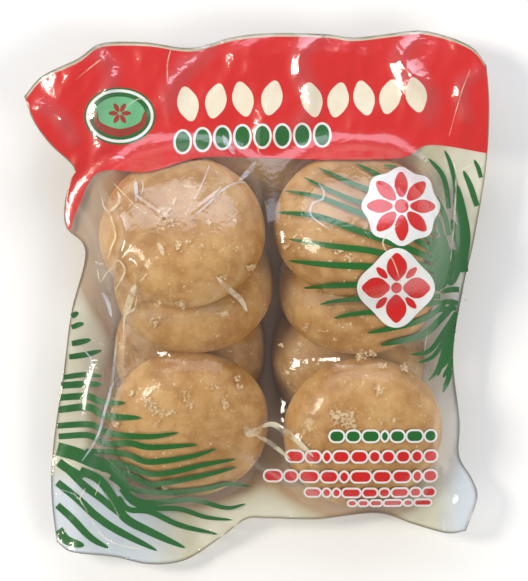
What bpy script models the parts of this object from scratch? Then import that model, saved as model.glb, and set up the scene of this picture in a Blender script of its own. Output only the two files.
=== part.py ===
"""A vacuum pack of palm sugar: eight half-dome lumps sealed in one clear printed pouch.

The pack lies on its back with its printed face up. X runs across it, Y up its face and Z through it.
The whole pack is one closed solid: the front and the back film, drawn tight over the lumps between
them, and the flat welded web around them. Sizes are in millimetres here and in metres in the mesh.
"""

import bmesh
import bpy
import numpy as np

for old in list(bpy.data.objects):
    bpy.data.objects.remove(old, do_unlink=True)

MM = 0.001

# Each lump: x, y and height of the middle of its flat base, its radius, the lean of its dome from
# upright, and the heading of that lean, both in degrees (90 leans it to the top of the pack).
LUMPS = {
    "left_back": (-25.0, -19.5, 2.3, 28.8, 0.0, 0.0),
    "right_back": (34.0, -22.5, 2.3, 29.2, 0.0, 0.0),
    "left_low": (-25.0, -45.6, 15.8, 30.0, 27.0, -84.0),
    "right_low": (39.0, -49.2, 16.2, 30.0, 22.0, -74.0),
    "left_middle": (-23.4, 5.4, 15.6, 30.0, 30.0, 90.0),
    "right_middle": (37.0, 4.9, 14.6, 29.8, 28.0, 91.0),
    "left_top": (-27.4, 23.4, 29.4, 31.2, 28.0, 95.0),
    "right_top": (36.0, 26.4, 25.9, 30.2, 30.0, 92.0),
}
DOME_HEIGHT = 18.4      # from a lump's base plane to the top of its dome
FOOT_DEPTH = 1.9        # how far a lump's base bulges below that plane

# The pouch's four edges, each from its first corner to its last.
TOP_LEFT = (-86.0, 74.6)
TOP_RIGHT = (85.0, 86.0)
LOW_LEFT = (-74.4, -90.6)
LOW_RIGHT = (77.6, -86.4)
TOP_EDGE = [
    TOP_LEFT, (-79.4, 82.0), (-66.2, 88.4), (-57.4, 94.2), (-41.4, 94.6), (-24.4, 92.6), (-9.4, 96.4),
    (5.6, 98.0), (25.6, 97.6), (35.6, 96.4), (48.6, 97.8), (60.6, 99.0), (71.6, 96.4), (80.2, 92.2), TOP_RIGHT,
]
RIGHT_EDGE = [
    TOP_RIGHT, (86.0, 70.0), (84.8, 48.0), (80.4, 21.4), (76.4, 3.6), (72.8, -20.6), (75.2, -45.2),
    (75.2, -58.6), (80.0, -67.4), (81.8, -74.6), LOW_RIGHT,
]
LOW_EDGE = [
    LOW_LEFT, (-68.4, -94.4), (-53.0, -96.2), (-40.0, -99.0), (-26.4, -97.4), (-13.0, -88.8), (-4.0, -82.2),
    (4.6, -81.8), (22.6, -82.2), (44.6, -80.0), (58.0, -84.0), (70.6, -87.4), LOW_RIGHT,
]
LEFT_EDGE = [
    TOP_LEFT, (-82.8, 65.8), (-76.4, 56.8), (-67.6, 48.2), (-69.0, 43.0), (-71.0, 35.0), (-70.4, 26.0),
    (-63.4, 17.0), (-68.6, -5.2), (-71.6, -27.6), (-75.4, -54.2), (-76.2, -72.0), LOW_LEFT,
]

# The welded web, where the two films lie on each other.
WEB_HALF = 0.6          # half its thickness
WEB_LOW_END = 9.0       # its height at the pack's low end
WEB_SHOULDER = 19.0     # its height beside the top lumps
WEB_TOP_END = 14.0      # its height at the top edge, which droops
SHOULDER_Y = 55.0       # where the web starts to droop
WEB_RIPPLE = 1.6        # height of the ripples along the free edge

# The grid that both films are made on, and how hard the vacuum draws them.
COLUMNS = 44
ROWS = 50
LEVEL_STEP = 0.25       # spacing of the heights at which the lumps are sounded
HIGHEST = 62.0
FRONT_SUCTION = 0.25    # drop of each grid point below the mean of its neighbours
BACK_SUCTION = 0.10
TIGHTEN_ROUNDS = 500
EASE_ROUNDS = 2         # rounds of smoothing where the film bends over the lumps' rims
FILM = 0.3              # the films' clearance over the lumps
FLOOR_SINK = 0.7        # the back film is pressed flat up to this height above its lowest point

BASE_COLOUR = (0.50, 0.33, 0.16, 1.0)


def smooth_line(points, count):
    """Catmull-Rom curve through the points: count + 1 places, evenly spaced along its length."""
    points = np.array(points)
    padded = np.vstack([2 * points[0] - points[1], points, 2 * points[-1] - points[-2]])
    step = np.linspace(0, 1, 40, endpoint=False)[:, None]
    runs = []
    for before, start, end, after in zip(padded, padded[1:], padded[2:], padded[3:]):
        bend = 2 * before - 5 * start + 4 * end - after
        twist = 3 * start - before - 3 * end + after
        runs.append(start + 0.5 * ((end - before) * step + bend * step**2 + twist * step**3))
    dense = np.vstack([*runs, points[-1:]])
    along = np.concatenate([[0], np.cumsum(np.linalg.norm(np.diff(dense, axis=0), axis=1))])
    wanted = np.linspace(0, along[-1], count + 1)
    return np.stack([np.interp(wanted, along, dense[:, k]) for k in range(2)], axis=1)


def pouch_plan():
    """Places of the grid inside the outline: a Coons patch, the two ruled sheets less the corners'."""
    top = smooth_line(TOP_EDGE, COLUMNS)[None]
    low = smooth_line(LOW_EDGE, COLUMNS)[None]
    left = smooth_line(LEFT_EDGE, ROWS)[::-1, None]
    right = smooth_line(RIGHT_EDGE, ROWS)[::-1, None]
    across = np.linspace(0, 1, COLUMNS + 1)[None, :, None]
    up = np.linspace(0, 1, ROWS + 1)[:, None, None]
    corners = (1 - up) * ((1 - across) * low[:, :1] + across * low[:, -1:])
    corners = corners + up * ((1 - across) * top[:, :1] + across * top[:, -1:])
    return (1 - up) * low + up * top + (1 - across) * left + across * right - corners


def inside(lump, x, y, z):
    """Below 1 inside a lump. Above its base the section is a dome with a steep rim, below it a shallow foot."""
    base_x, base_y, base_z, radius, lean, heading = lump
    lean, heading = np.radians(lean), np.radians(heading)
    forward = (x - base_x) * np.cos(heading) + (y - base_y) * np.sin(heading)
    side = (y - base_y) * np.cos(heading) - (x - base_x) * np.sin(heading)
    rise = (z - base_z) * np.cos(lean) + forward * np.sin(lean)
    reach = forward * np.cos(lean) - (z - base_z) * np.sin(lean)
    spread = (reach**2 + side**2) / radius**2
    dome = 0.5 * (spread + spread**2) + (rise / DOME_HEIGHT) ** 2
    foot = spread**4 + (rise / FOOT_DEPTH) ** 2
    return np.where(rise > 0, dome, foot)


def sound_lumps(x, y):
    """Highest and lowest height that any lump reaches over each place, -inf and +inf where there is none."""
    levels = np.arange(0.0, HIGHEST, LEVEL_STEP)
    highest = np.full(x.shape, -np.inf)
    lowest = np.full(x.shape, np.inf)
    for lump in LUMPS.values():
        hit = inside(lump, x[..., None], y[..., None], levels) < 1
        highest = np.maximum(highest, np.where(hit, levels, -np.inf).max(axis=-1))
        lowest = np.minimum(lowest, np.where(hit, levels, np.inf).min(axis=-1))
    return highest + FILM, lowest - FILM


def web_height(x, y):
    """Middle of the web: it climbs from the low end to the shoulder, then droops, and ripples at the edge."""
    climb = np.clip((y + 90.0) / (SHOULDER_Y + 90.0), 0, 1)
    droop = np.clip((y - SHOULDER_Y) / (99.0 - SHOULDER_Y), 0, 1) ** 2
    height = WEB_LOW_END + (WEB_SHOULDER - WEB_LOW_END) * climb + (WEB_TOP_END - WEB_SHOULDER) * droop
    free = np.clip((np.abs(x) - 55.0) / 30.0, 0, 1) + np.clip((np.abs(y) - 65.0) / 30.0, 0, 1)
    return height + WEB_RIPPLE * free * np.sin(x / 11.0 + 0.8) * np.cos(y / 14.0)


def neighbours_mean(film):
    """Mean height of each inner place's four neighbours."""
    return (film[:-2, 1:-1] + film[2:, 1:-1] + film[1:-1, :-2] + film[1:-1, 2:]) / 4


def draw_tight(stop, suction):
    """Film drawn down: each place goes to its neighbours' mean less the suction, but never below stop."""
    film = stop.copy()
    for _ in range(TIGHTEN_ROUNDS):
        film[1:-1, 1:-1] = np.maximum(stop[1:-1, 1:-1], neighbours_mean(film) - suction)
    for _ in range(EASE_ROUNDS):
        film[1:-1, 1:-1] = (film[1:-1, 1:-1] + neighbours_mean(film)) / 2
    return film


def film_sheet(mesh, plan, height):
    """Adds one film to the mesh as a grid, moves it to its places, and returns its boundary edges."""
    made = bmesh.ops.create_grid(mesh, x_segments=COLUMNS, y_segments=ROWS, size=0.5)["verts"]
    for corner in made:
        column = round((corner.co.x + 0.5) * COLUMNS)
        row = round((corner.co.y + 0.5) * ROWS)
        corner.co = (plan[row, column, 0] * MM, plan[row, column, 1] * MM, height[row, column] * MM)
    edges = {edge for corner in made for edge in corner.link_edges}
    return made, [edge for edge in edges if edge.is_boundary]


def make_bag():
    """Front film, back film and the edge between them, as one closed mesh, centred over the origin."""
    plan = pouch_plan()
    x, y = plan[..., 0], plan[..., 1]
    highest, lowest = sound_lumps(x, y)
    web = web_height(x, y)
    front = draw_tight(np.maximum(highest, web + WEB_HALF), FRONT_SUCTION)
    back = -draw_tight(-np.minimum(lowest, web - WEB_HALF), BACK_SUCTION)
    floor = back.min() + FLOOR_SINK
    back = np.maximum(back - floor, 0)
    front = front - floor
    plan = plan - (plan.reshape(-1, 2).min(axis=0) + plan.reshape(-1, 2).max(axis=0)) / 2

    mesh = bmesh.new()
    _, front_edge = film_sheet(mesh, plan, front)
    back_corners, back_edge = film_sheet(mesh, plan, back)
    back_faces = {face for corner in back_corners for face in corner.link_faces}
    bmesh.ops.reverse_faces(mesh, faces=list(back_faces))
    bmesh.ops.bridge_loops(mesh, edges=front_edge + back_edge)
    bmesh.ops.triangulate(mesh, faces=mesh.faces[:])
    bmesh.ops.recalc_face_normals(mesh, faces=mesh.faces[:])

    data = bpy.data.meshes.new("sealed_bag")
    mesh.to_mesh(data)
    mesh.free()
    return data


def sugar_in_film():
    """The tan of the lumps under glossy film."""
    material = bpy.data.materials.new("sugar_in_film")
    material.use_nodes = True
    shader = material.node_tree.nodes["Principled BSDF"]
    shader.inputs["Base Color"].default_value = BASE_COLOUR
    shader.inputs["Roughness"].default_value = 0.25
    shader.inputs["Metallic"].default_value = 0.0
    return material


pack = bpy.data.collections.new("palm_sugar_pack")
bpy.context.scene.collection.children.link(pack)
bag = bpy.data.objects.new("sealed_bag", make_bag())
bag.data.materials.append(sugar_in_film())
pack.objects.link(bag)
bag.data.shade_smooth()
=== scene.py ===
"""A vacuum pack of palm sugar: eight half-dome lumps sealed in one clear printed pouch, lying face up."""

import bpy
import numpy as np
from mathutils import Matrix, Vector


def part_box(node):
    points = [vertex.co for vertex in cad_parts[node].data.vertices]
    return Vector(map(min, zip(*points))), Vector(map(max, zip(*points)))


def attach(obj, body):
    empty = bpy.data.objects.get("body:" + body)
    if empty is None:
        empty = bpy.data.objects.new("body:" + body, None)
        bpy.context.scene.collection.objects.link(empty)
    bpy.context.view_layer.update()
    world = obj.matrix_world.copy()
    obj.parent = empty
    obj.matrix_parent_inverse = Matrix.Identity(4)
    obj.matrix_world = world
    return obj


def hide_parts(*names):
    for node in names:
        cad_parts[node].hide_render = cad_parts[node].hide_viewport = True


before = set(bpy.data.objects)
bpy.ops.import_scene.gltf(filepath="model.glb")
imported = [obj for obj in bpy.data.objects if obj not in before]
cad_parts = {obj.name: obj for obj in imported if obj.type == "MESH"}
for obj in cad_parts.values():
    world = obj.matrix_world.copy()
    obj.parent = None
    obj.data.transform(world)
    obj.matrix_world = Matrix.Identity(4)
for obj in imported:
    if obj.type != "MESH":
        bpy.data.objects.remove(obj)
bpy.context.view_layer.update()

MM = 0.001

# ---- The palm sugar lumps -------------------------------------------------------------------------
# Cooked palm sugar set in round moulds: a domed top, a steep rim and a nearly flat base. They lie in
# two columns, two back to back on the pouch's back film and six leaning on them like roof tiles.

# Each lump: x, y and height of the middle of its base, its radius, the lean of its dome from upright
# and the heading of that lean, in millimetres and degrees.
LUMPS = {
    "left_back": (-25.0, -19.5, 2.0, 28.8, 0.0, 0.0),
    "right_back": (34.0, -22.5, 2.0, 29.2, 0.0, 0.0),
    "left_low": (-25.0, -45.6, 15.5, 30.0, 27.0, -84.0),
    "right_low": (39.0, -49.2, 15.9, 30.0, 22.0, -74.0),
    "left_middle": (-23.4, 5.4, 15.3, 30.0, 30.0, 90.0),
    "right_middle": (37.0, 4.9, 14.3, 29.8, 28.0, 91.0),
    "left_top": (-27.4, 23.4, 29.1, 31.2, 28.0, 95.0),
    "right_top": (36.0, 26.4, 25.6, 30.2, 30.0, 92.0),
}
DOME_HEIGHT = 18.4
FOOT_DEPTH = 1.9
DOME_RINGS = 64
FOOT_RINGS = 14
RING_POINTS = 150


def lump_axes(lump):
    """The lump's own axes: forward and side in its base plane, and rise along its dome."""
    lean, heading = np.radians(lump[4]), np.radians(lump[5])
    forward = [np.cos(lean) * np.cos(heading), np.cos(lean) * np.sin(heading), -np.sin(lean)]
    side = [-np.sin(heading), np.cos(heading), 0.0]
    rise = [np.sin(lean) * np.cos(heading), np.sin(lean) * np.sin(heading), np.cos(lean)]
    return np.array([forward, side, rise])


def cloud(points, cell, seed):
    """Smooth noise from 0 to 1: random values on a lattice of that cell, blended by an eased cube."""
    table = np.random.default_rng(seed).random((32, 32, 32))
    place = points / cell + 400.0
    low = np.floor(place).astype(int)
    ease = place - low
    ease = ease * ease * (3 - 2 * ease)
    total = np.zeros(points.shape[:-1])
    for i in (0, 1):
        for j in (0, 1):
            for k in (0, 1):
                corner = np.array([i, j, k])
                cell_x, cell_y, cell_z = np.moveaxis((low + corner) % 32, -1, 0)
                total += np.prod(np.abs(1 - corner - ease), axis=-1) * table[cell_x, cell_y, cell_z]
    return total


def lump_rings(lump, seed):
    """Rings from the top of the dome to the middle of the base. With c the cosine of the ring's angle, the
    height is c times the dome's, and the spread s solves (s + s squared) / 2 = 1 - c squared. Below the
    rim the foot follows s to the fourth plus its own height squared = 1. Relief only ever cuts inwards."""
    radius = lump[3]
    angle = np.linspace(0, np.pi / 2, DOME_RINGS)[1:]
    dome_reach = radius * np.sqrt((np.sqrt(1 + 8 * np.sin(angle) ** 2) - 1) / 2)
    dome_rise = DOME_HEIGHT * np.cos(angle)
    share = np.sin(np.linspace(np.pi / 2, 0, FOOT_RINGS + 2)[1:-1])
    foot_reach = radius * share
    foot_rise = -FOOT_DEPTH * np.sqrt(1 - share**8)
    reach = np.concatenate([dome_reach, foot_reach])[:, None]
    rise = np.concatenate([dome_rise, foot_rise])[:, None]
    turn = np.linspace(0, 2 * np.pi, RING_POINTS, endpoint=False)
    rings = np.stack([reach * np.cos(turn), reach * np.sin(turn), rise + 0 * turn], axis=-1)
    poles = np.array([[0, 0, DOME_HEIGHT], [0, 0, -FOOT_DEPTH]])
    rings = np.concatenate([np.broadcast_to(poles[0], (1, RING_POINTS, 3)), rings,
                            np.broadcast_to(poles[1], (1, RING_POINTS, 3))])
    sag = 0.022 * cloud(rings, 24.0, seed) + 0.010 * cloud(rings, 7.0, seed + 1)
    pits = np.clip(cloud(rings, 2.6, seed + 2) - 0.72, 0, 1) * 0.03
    grain = 0.0022 * cloud(rings, 1.1, seed + 3)
    return rings * (1 - sag - pits - grain)[..., None]


def mesh_of(name, points, faces, smooth=True):
    """A mesh object in metres from points in millimetres and faces of equal length."""
    data = bpy.data.meshes.new(name)
    data.from_pydata((points.reshape(-1, 3) * MM).tolist(), [], faces.tolist())
    data.polygons.foreach_set("use_smooth", np.full(len(data.polygons), smooth))
    data.update()
    made = bpy.data.objects.new(name, data)
    bpy.context.scene.collection.objects.link(made)
    return made


def ring_faces(rings, count):
    """Quads between neighbouring rings of a turned form, each ring closed on itself."""
    corner = (np.arange(rings - 1)[:, None] * count + np.arange(count)).ravel()
    ahead = (np.arange(rings - 1)[:, None] * count + (np.arange(count) + 1) % count).ravel()
    return np.stack([corner, corner + count, ahead + count, ahead], axis=1)


def close_poles(made):
    """Merges the points that a turned form has lying together at its two poles."""
    import bmesh
    work = bmesh.new()
    work.from_mesh(made.data)
    bmesh.ops.remove_doubles(work, verts=work.verts, dist=1e-6)
    work.to_mesh(made.data)
    work.free()


class Nodes:
    """A material's node tree, with short calls to add a node and to link sockets."""

    def __init__(self, name):
        self.material = bpy.data.materials.new(name)
        self.material.use_nodes = True
        self.tree = self.material.node_tree
        self.shader = self.tree.nodes["Principled BSDF"]

    def add(self, kind, inputs=None, **settings):
        node = self.tree.nodes.new("ShaderNode" + kind)
        for key, value in settings.items():
            setattr(node, key, value)
        for key, value in (inputs or {}).items():
            if isinstance(value, bpy.types.NodeSocket):
                self.tree.links.new(value, node.inputs[key])
            else:
                node.inputs[key].default_value = value
        return node

    def mix(self, share, first, second):
        node = self.add("Mix", data_type="RGBA")
        for socket, value in ((node.inputs[0], share), (node.inputs[6], first), (node.inputs[7], second)):
            if isinstance(value, bpy.types.NodeSocket):
                self.tree.links.new(value, socket)
            else:
                socket.default_value = value
        return node.outputs[2]

    def ramp(self, factor, low, high):
        return self.add("MapRange", {"Value": factor, "From Min": low, "From Max": high},
                        interpolation_type="SMOOTHSTEP").outputs[0]

    def maths(self, operation, first, second=0.0):
        node = self.add("Math", operation=operation)
        for socket, value in zip(node.inputs, (first, second)):
            if isinstance(value, bpy.types.NodeSocket):
                self.tree.links.new(value, socket)
            else:
                socket.default_value = value
        return node.outputs[0]

    def feed(self, socket, value):
        self.tree.links.new(value, self.shader.inputs[socket])


def palm_sugar():
    """Waxy tan sugar: mottled, with a fine grain, cream specks, patches of bloom and darker pits."""
    n = Nodes("palm_sugar")
    where = n.add("TexCoord").outputs["Object"]
    broad = n.add("TexNoise", {"Vector": where, "Scale": 38.0, "Detail": 3.0, "Roughness": 0.5}).outputs[0]
    mottle = n.add("TexNoise", {"Vector": where, "Scale": 190.0, "Detail": 5.0, "Roughness": 0.62}).outputs[0]
    grain = n.add("TexNoise", {"Vector": where, "Scale": 1500.0, "Detail": 3.0, "Roughness": 0.6}).outputs[0]
    tan = n.mix(n.ramp(broad, 0.35, 0.68), (0.43, 0.212, 0.060, 1), (0.60, 0.350, 0.130, 1))
    tan = n.mix(n.maths("MULTIPLY", n.ramp(mottle, 0.42, 0.70), 0.45), tan, (0.68, 0.44, 0.200, 1))
    tan = n.mix(n.maths("MULTIPLY", n.ramp(mottle, 0.50, 0.30), 0.35), tan, (0.29, 0.130, 0.034, 1))
    tan = n.mix(n.maths("MULTIPLY", n.ramp(grain, 0.56, 0.75), 0.30), tan, (0.70, 0.52, 0.30, 1))
    speck_field = n.add("TexNoise", {"Vector": where, "Scale": 620.0, "Detail": 2.0,
                                     "Roughness": 0.5}).outputs[0]
    speck_zone = n.add("TexNoise", {"Vector": where, "Scale": 95.0, "Detail": 2.0}).outputs[0]
    specks = n.maths("MULTIPLY", n.ramp(speck_field, 0.665, 0.70), n.ramp(speck_zone, 0.42, 0.58))
    bloom_field = n.add("TexNoise", {"Vector": where, "Scale": 150.0, "Detail": 6.0, "Roughness": 0.72,
                                     "Distortion": 0.6}).outputs[0]
    bloom_zone = n.add("TexNoise", {"Vector": where, "Scale": 52.0, "Detail": 1.0}).outputs[0]
    bloom = n.maths("MULTIPLY", n.ramp(bloom_field, 0.58, 0.64), n.ramp(bloom_zone, 0.56, 0.66))
    pale = n.maths("MAXIMUM", specks, n.maths("MULTIPLY", bloom, 0.8))
    colour = n.mix(n.maths("MULTIPLY", pale, 0.72), tan, (0.80, 0.66, 0.42, 1))
    n.feed("Base Color", colour)
    n.feed("Roughness", n.add("MapRange", {"Value": mottle, "From Min": 0.3, "From Max": 0.7,
                                           "To Min": 0.38, "To Max": 0.62}).outputs[0])
    height = n.maths("ADD", n.maths("MULTIPLY", grain, 0.5), n.maths("MULTIPLY", pale, 0.8))
    bump = n.add("Bump", {"Height": height, "Strength": 0.35, "Distance": 0.0003})
    n.feed("Normal", bump.outputs[0])
    n.shader.inputs["Subsurface Weight"].default_value = 0.12
    n.shader.inputs["Subsurface Radius"].default_value = (0.004, 0.002, 0.001)
    n.shader.inputs["Subsurface Scale"].default_value = 1.0
    n.shader.inputs["Specular IOR Level"].default_value = 0.45
    return n.material


sugar = palm_sugar()
for order, (lump_name, lump) in enumerate(LUMPS.items()):
    own = lump_rings(lump, 11 * order + 3)
    placed = own @ lump_axes(lump) + np.array(lump[:3])
    piece = mesh_of("lump_" + lump_name, placed, ring_faces(len(own), RING_POINTS))
    close_poles(piece)
    piece.data.materials.append(sugar)
    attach(piece, "root")

# ---- The pouch film -------------------------------------------------------------------------------
# Two sheets of clear laminate about 0.1 mm thick, welded along all four sides and drawn tight over the
# lumps by vacuum. Where there is nothing between them they lie on each other as a flat web.

TOP_LEFT, TOP_RIGHT = (-86.0, 74.6), (85.0, 86.0)
LOW_LEFT, LOW_RIGHT = (-74.4, -90.6), (77.6, -86.4)
TOP_EDGE = [
    TOP_LEFT, (-79.4, 82.0), (-66.2, 88.4), (-57.4, 94.2), (-41.4, 94.6), (-24.4, 92.6), (-9.4, 96.4),
    (5.6, 98.0), (25.6, 97.6), (35.6, 96.4), (48.6, 97.8), (60.6, 99.0), (71.6, 96.4), (80.2, 92.2),
    TOP_RIGHT,
]
RIGHT_EDGE = [
    TOP_RIGHT, (86.0, 70.0), (84.8, 48.0), (80.4, 21.4), (76.4, 3.6), (72.8, -20.6), (75.2, -45.2),
    (75.2, -58.6), (80.0, -67.4), (81.8, -74.6), LOW_RIGHT,
]
LOW_EDGE = [
    LOW_LEFT, (-68.4, -94.4), (-53.0, -96.2), (-40.0, -99.0), (-26.4, -97.4), (-13.0, -88.8), (-4.0, -82.2),
    (4.6, -81.8), (22.6, -82.2), (44.6, -80.0), (58.0, -84.0), (70.6, -87.4), LOW_RIGHT,
]
LEFT_EDGE = [
    TOP_LEFT, (-82.8, 65.8), (-76.4, 56.8), (-67.6, 48.2), (-69.0, 43.0), (-71.0, 35.0), (-70.4, 26.0),
    (-63.4, 17.0), (-68.6, -5.2), (-71.6, -27.6), (-75.4, -54.2), (-76.2, -72.0), LOW_LEFT,
]
FILM_GAP = 0.45         # clearance of the film over the sugar, which the print and crumbs fill
PLY = 0.14              # half the thickness of the welded web
FINE = 0.5              # spacing of the height maps
HALF_X, HALF_Y = 92, 104
FRONT_CURVE = 0.11      # sag curvature that the vacuum gives the front film between the lumps
BACK_CURVE = 0.06


def smooth_line(points, count):
    """Catmull-Rom curve through the points: count + 1 places, evenly spaced along its length."""
    points = np.array(points, dtype=float)
    padded = np.vstack([2 * points[0] - points[1], points, 2 * points[-1] - points[-2]])
    step = np.linspace(0, 1, 40, endpoint=False)[:, None]
    runs = []
    for before, start, end, after in zip(padded, padded[1:], padded[2:], padded[3:]):
        bend = 2 * before - 5 * start + 4 * end - after
        twist = 3 * start - before - 3 * end + after
        runs.append(start + 0.5 * ((end - before) * step + bend * step**2 + twist * step**3))
    dense = np.vstack([*runs, points[-1:]])
    along = np.concatenate([[0], np.cumsum(np.linalg.norm(np.diff(dense, axis=0), axis=1))])
    wanted = np.linspace(0, along[-1], count + 1)
    return np.stack([np.interp(wanted, along, dense[:, k]) for k in range(dense.shape[1])], axis=1)


def pouch_plan(columns, rows):
    """Places of a grid inside the outline: a Coons patch, the two ruled sheets less the corners' one."""
    top, low = smooth_line(TOP_EDGE, columns)[None], smooth_line(LOW_EDGE, columns)[None]
    left, right = smooth_line(LEFT_EDGE, rows)[::-1, None], smooth_line(RIGHT_EDGE, rows)[::-1, None]
    across = np.linspace(0, 1, columns + 1)[None, :, None]
    up = np.linspace(0, 1, rows + 1)[:, None, None]
    corners = (1 - up) * ((1 - across) * low[:, :1] + across * low[:, -1:])
    corners = corners + up * ((1 - across) * top[:, :1] + across * top[:, -1:])
    return (1 - up) * low + up * top + (1 - across) * left + across * right - corners


def web_height(x, y):
    """Middle of the web: it climbs from the low end to the shoulder, then droops, and ripples at the edge."""
    climb = np.clip((y + 90.0) / 145.0, 0, 1)
    droop = np.clip((y - 55.0) / 44.0, 0, 1) ** 2
    free = np.clip((np.abs(x) - 55.0) / 30.0, 0, 1) + np.clip((np.abs(y) - 65.0) / 30.0, 0, 1)
    return 8.2 + 10.0 * climb - 5.0 * droop + 1.6 * free * np.sin(x / 11.0 + 0.8) * np.cos(y / 14.0)


def inside(lump, x, y, z):
    """Below 1 inside a lump grown by the film's gap, by the same two formulas as its rings."""
    axes = lump_axes(lump)
    reach = (x - lump[0]) * axes[0, 0] + (y - lump[1]) * axes[0, 1] + (z - lump[2]) * axes[0, 2]
    side = (x - lump[0]) * axes[1, 0] + (y - lump[1]) * axes[1, 1]
    rise = (x - lump[0]) * axes[2, 0] + (y - lump[1]) * axes[2, 1] + (z - lump[2]) * axes[2, 2]
    spread = (reach**2 + side**2) / (lump[3] + FILM_GAP) ** 2
    dome = 0.5 * (spread + spread**2) + (rise / (DOME_HEIGHT + FILM_GAP)) ** 2
    foot = spread**4 + (rise / (FOOT_DEPTH + FILM_GAP)) ** 2
    return np.where(rise > 0, dome, foot)


def sound_lumps(x, y, sign):
    """Height at which a probe coming down (sign 1) or up (sign -1) meets a lump: the outermost of 70 levels
    that is inside one, refined by halving. Places that no lump covers get minus sign times 1000."""
    met = np.full(x.shape, -sign * 1000.0)
    levels = np.linspace(-3.0, 62.0, 70)[::-sign]
    for lump in LUMPS.values():
        near = np.nonzero(np.hypot(x - lump[0], y - lump[1]) < lump[3] + 6)
        px, py = x[near], y[near]
        hit = inside(lump, px[:, None], py[:, None], levels) < 1
        found = hit.any(axis=1)
        first = hit.argmax(axis=1)
        clear = levels[np.maximum(first - 1, 0)]
        solid = levels[first]
        for _ in range(10):
            middle = (clear + solid) / 2
            within = inside(lump, px, py, middle) < 1
            solid = np.where(within, middle, solid)
            clear = np.where(within, clear, middle)
        better = np.where(found, solid, -sign * 1000.0)
        met[near] = np.maximum(met[near], better) if sign > 0 else np.minimum(met[near], better)
    return met


def finer(coarse):
    """A map at half the spacing: old places kept, new ones the mean of their neighbours."""
    fine = np.empty((coarse.shape[0] * 2 - 1, coarse.shape[1] * 2 - 1))
    fine[::2, ::2] = coarse
    fine[1::2, ::2] = (coarse[1:] + coarse[:-1]) / 2
    fine[:, 1::2] = (fine[:, :-1:2] + fine[:, 2::2]) / 2
    return fine


def draw_tight(stop, curve):
    """Film drawn down over stop: each place goes to its neighbours' mean less a share of the curvature, but
    never below stop. It starts on every eighth place and is refined three times."""
    film = stop[::8, ::8].copy()
    for skip, rounds in ((8, 260), (4, 120), (2, 80), (1, 60)):
        if skip < 8:
            film = finer(film)
        held = stop[::skip, ::skip]
        drop = curve * (skip * FINE) ** 2 / 4
        film = np.maximum(film, held)
        for _ in range(rounds):
            mean = (film[:-2, 1:-1] + film[2:, 1:-1] + film[1:-1, :-2] + film[1:-1, 2:]) / 4
            film[1:-1, 1:-1] = np.maximum(held[1:-1, 1:-1], mean - drop)
    return film


map_x, map_y = np.meshgrid(np.arange(-HALF_X, HALF_X + FINE / 2, FINE),
                           np.arange(-HALF_Y, HALF_Y + FINE / 2, FINE))


def read_map(height, x, y):
    """Height at any place: the four surrounding values of the map, weighted by nearness."""
    column = np.clip((x + HALF_X) / FINE, 0, height.shape[1] - 1.001)
    row = np.clip((y + HALF_Y) / FINE, 0, height.shape[0] - 1.001)
    i, j = row.astype(int), column.astype(int)
    u, v = row - i, column - j
    low = height[i, j] * (1 - v) + height[i, j + 1] * v
    high = height[i + 1, j] * (1 - v) + height[i + 1, j + 1] * v
    return low * (1 - u) + high * u


# Creases: points along the fold, its height and its half-width, in millimetres. The last ones are broad
# folds of the flat band along the top.
CREASES = [
    ([(-57, 40), (-50, 30), (-48, 22), (-52, 10), (-50, 2)], 1.3, 2.6),
    ([(-60, 12), (-55, 8), (-46, 14), (-43, 8), (-46, -2), (-49, -14)], 1.2, 2.6),
    ([(-57, 48), (-46, 39), (-31, 28)], 0.8, 2.2),
    ([(-46, -4), (-48, -14), (-50, -30), (-54, -46), (-61, -62), (-68, -74)], 1.4, 3.0),
    ([(-72, 44), (-60, 24), (-54, 2), (-52, -20)], 0.9, 3.0),
    ([(-6, 49), (-14, 40), (-24, 31)], 1.2, 3.4),
    ([(-46, 47), (-44, 39), (-44, 34)], 0.9, 2.2),
    ([(-4, -47), (4, -46), (12, -50), (20, -58), (28, -66)], 1.8, 3.4),
    ([(-20, -52), (-8, -56), (4, -63), (16, -70), (30, -74)], 1.1, 2.8),
    ([(-22, 10), (-14, 2), (-6, -4)], 0.7, 2.2),
    ([(2, 30), (4, 22), (3, 12), (7, 8)], 0.9, 1.8),
    ([(7, 6), (12, 16), (13, 24)], 0.7, 1.8),
    ([(46, 34), (40, 24), (47, 14), (52, 4)], 0.5, 1.8),
    ([(66, 60), (72, 40), (74, 16), (70, -8), (66, -30)], 1.0, 2.8),
    ([(60, 52), (66, 36), (68, 14)], 0.7, 2.2),
    ([(70, -30), (66, -50), (70, -66), (76, -76)], 1.1, 3.2),
    ([(64, -70), (56, -76), (44, -77)], 0.8, 2.8),
    ([(-14, 100), (-20, 90), (-30, 80), (-34, 66)], 2.0, 6.5),
    ([(-62, 94), (-54, 82), (-60, 66), (-56, 54)], 1.6, 6.0),
    ([(-84, 72), (-74, 68), (-66, 56)], 1.8, 6.0),
    ([(26, 99), (16, 88), (20, 72), (12, 60)], 1.8, 6.5),
    ([(62, 100), (54, 88), (64, 74), (62, 62)], 1.8, 6.5),
    ([(84, 84), (76, 78), (78, 64)], 1.4, 5.0),
]


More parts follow.
